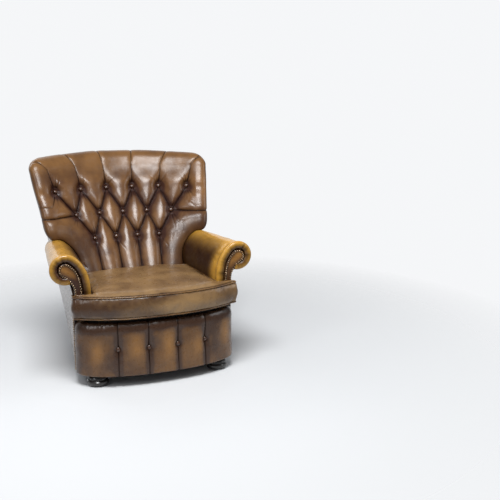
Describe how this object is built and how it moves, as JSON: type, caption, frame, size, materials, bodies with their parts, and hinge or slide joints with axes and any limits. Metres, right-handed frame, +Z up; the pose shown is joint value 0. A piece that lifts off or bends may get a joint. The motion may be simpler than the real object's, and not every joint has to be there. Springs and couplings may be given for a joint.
{
  "type": "armchair",
  "caption": "Chesterfield armchair with a deep-buttoned barrel back, scroll arms with nailed facings, a loose seat cushion and bun feet.",
  "frame": {"origin": "on the floor, under the middle of the chair's bounding box", "axes": "+Z up, the chair faces -Y, +X is to the right as seen from the front"},
  "size_m": [0.9708, 1.028, 1.02],
  "materials": {
    "arm_leather": "golden tan hide fading to brown, glossy",
    "back_leather": "glossy antiqued brown hide, dark in the pleats",
    "border_leather": "brown hide with orange-brown patches",
    "button_leather": "glossy brown hide over a domed button",
    "cushion_foam": "upholstery foam block",
    "facing_leather": "brown hide with a golden middle",
    "foot_black": "black lacquered, satin",
    "frame_wood": "sawn beech, bare",
    "glide_plastic": "plain glide",
    "lining_cloth": "black woven lining",
    "nail_brass": "antiqued domed nail heads",
    "piping_leather": "tan piping, worn",
    "seat_leather": "grey-brown worn hide",
    "side_leather": "brown hide, plain",
    "spring_steel": "plain spring steel",
    "zip_metal": "antiqued zip"
  },
  "bodies": {
    "chair": {"front_rail": "frame_wood", "back_rail": "frame_wood", "side_rail_left": "frame_wood", "side_rail_right": "frame_wood", "corner_blocks": "frame_wood", "front_post_left": "frame_wood", "front_post_right": "frame_wood", "back_post_left": "frame_wood", "back_post_right": "frame_wood", "crest_rail": "frame_wood", "spring_rail": "frame_wood", "back_low_rail": "frame_wood", "arm_rail_left": "frame_wood", "arm_rail_right": "frame_wood", "arm_board_left": "frame_wood", "arm_board_right": "frame_wood", "seat_springs": "spring_steel", "spring_clips": "spring_steel", "seat_platform": "lining_cloth", "back_straps_upright": "lining_cloth", "back_straps_level": "lining_cloth", "back_pad": "back_leather", "back_buttons_top": "button_leather", "back_buttons_middle": "button_leather", "back_buttons_bottom": "button_leather", "front_border": "border_leather", "border_buttons": "button_leather", "arm_pad_left": "arm_leather", "arm_pad_right": "arm_leather", "arm_facing_left": "facing_leather", "arm_facing_right": "facing_leather", "facing_nails_left": "nail_brass", "facing_nails_right": "nail_brass", "outside_arm_left": "side_leather", "outside_arm_right": "side_leather", "side_nails_left": "nail_brass", "side_nails_right": "nail_brass", "outside_wing_left": "back_leather", "outside_wing_right": "back_leather", "outside_back": "back_leather", "back_nails_left": "nail_brass", "back_nails_right": "nail_brass", "dust_cover": "lining_cloth", "foot_front_left": "foot_black", "foot_front_right": "foot_black", "foot_rear_left": "foot_black", "foot_rear_right": "foot_black", "foot_bolts": "spring_steel", "foot_glides": "glide_plastic"},
    "cushion": {"seat_cushion": "seat_leather", "seat_cushion_core": "cushion_foam", "piping_top": "piping_leather", "piping_bottom": "piping_leather", "cushion_zip": "zip_metal"}
  },
  "joints": [
    {"name": "cushion_lift", "type": "slide", "parent": "chair", "child": "cushion", "axis": [0, 0, 1], "range_m": [0, 0.4]}
  ]
}
